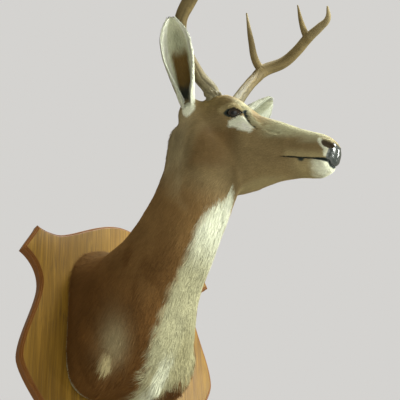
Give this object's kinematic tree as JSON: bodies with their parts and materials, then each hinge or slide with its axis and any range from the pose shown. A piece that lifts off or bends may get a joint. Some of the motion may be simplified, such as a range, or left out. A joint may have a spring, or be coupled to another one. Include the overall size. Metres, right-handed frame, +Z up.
{
  "type": "deer shoulder mount",
  "caption": "Taxidermy shoulder mount of an antlered deer, head turned to its left, on a flat shield plaque that hangs on a wall.",
  "frame": {"origin": "centre of the plaque's flat back face, where it lies on the wall", "axes": "+Y into the wall, so the deer looks out along -Y; +Z up; +X to the right for someone facing the wall, which is the deer's own left"},
  "size_m": [0.4883, 0.547, 1.0026],
  "materials": {
    "plaque": "satin varnished oak",
    "trunk": "tanned hide with short grey-brown deer coat",
    "neck": "tanned hide with short grey-brown deer coat",
    "head": "tanned hide with short grey-brown deer coat",
    "muzzle": "tanned hide with short grey-brown deer coat",
    "lower_jaw": "tanned hide with short grey-brown deer coat",
    "nose": "black pebbled nose pad, slightly moist gloss",
    "ear_left": "tanned hide with short grey-brown deer coat",
    "ear_right": "tanned hide with short grey-brown deer coat",
    "eye_left": "glass eye, dark brown, high gloss",
    "eye_right": "glass eye, dark brown, high gloss",
    "antler_left_base": "antler bone, dry and matt, brown at the base and pale at the tips",
    "antler_left_beam": "antler bone, dry and matt, brown at the base and pale at the tips",
    "antler_left_rear_tine": "antler bone, dry and matt, brown at the base and pale at the tips",
    "antler_left_front_tine": "antler bone, dry and matt, brown at the base and pale at the tips",
    "antler_left_tip": "antler bone, dry and matt, brown at the base and pale at the tips",
    "antler_right_base": "antler bone, dry and matt, brown at the base and pale at the tips",
    "antler_right_beam": "antler bone, dry and matt, brown at the base and pale at the tips",
    "antler_right_rear_tine": "antler bone, dry and matt, brown at the base and pale at the tips",
    "antler_right_front_tine": "antler bone, dry and matt, brown at the base and pale at the tips",
    "antler_right_tip": "antler bone, dry and matt, brown at the base and pale at the tips"
  },
  "bodies": {
    "root": {"plaque": "plaque", "trunk": "trunk", "neck": "neck", "head": "head", "muzzle": "muzzle", "lower_jaw": "lower_jaw", "nose": "nose", "ear_left": "ear_left", "ear_right": "ear_right", "eye_left": "eye_left", "eye_right": "eye_right", "antler_left_base": "antler_left_base", "antler_left_beam": "antler_left_beam", "antler_left_rear_tine": "antler_left_rear_tine", "antler_left_front_tine": "antler_left_front_tine", "antler_left_tip": "antler_left_tip", "antler_right_base": "antler_right_base", "antler_right_beam": "antler_right_beam", "antler_right_rear_tine": "antler_right_rear_tine", "antler_right_front_tine": "antler_right_front_tine", "antler_right_tip": "antler_right_tip"}
  },
  "joints": []
}
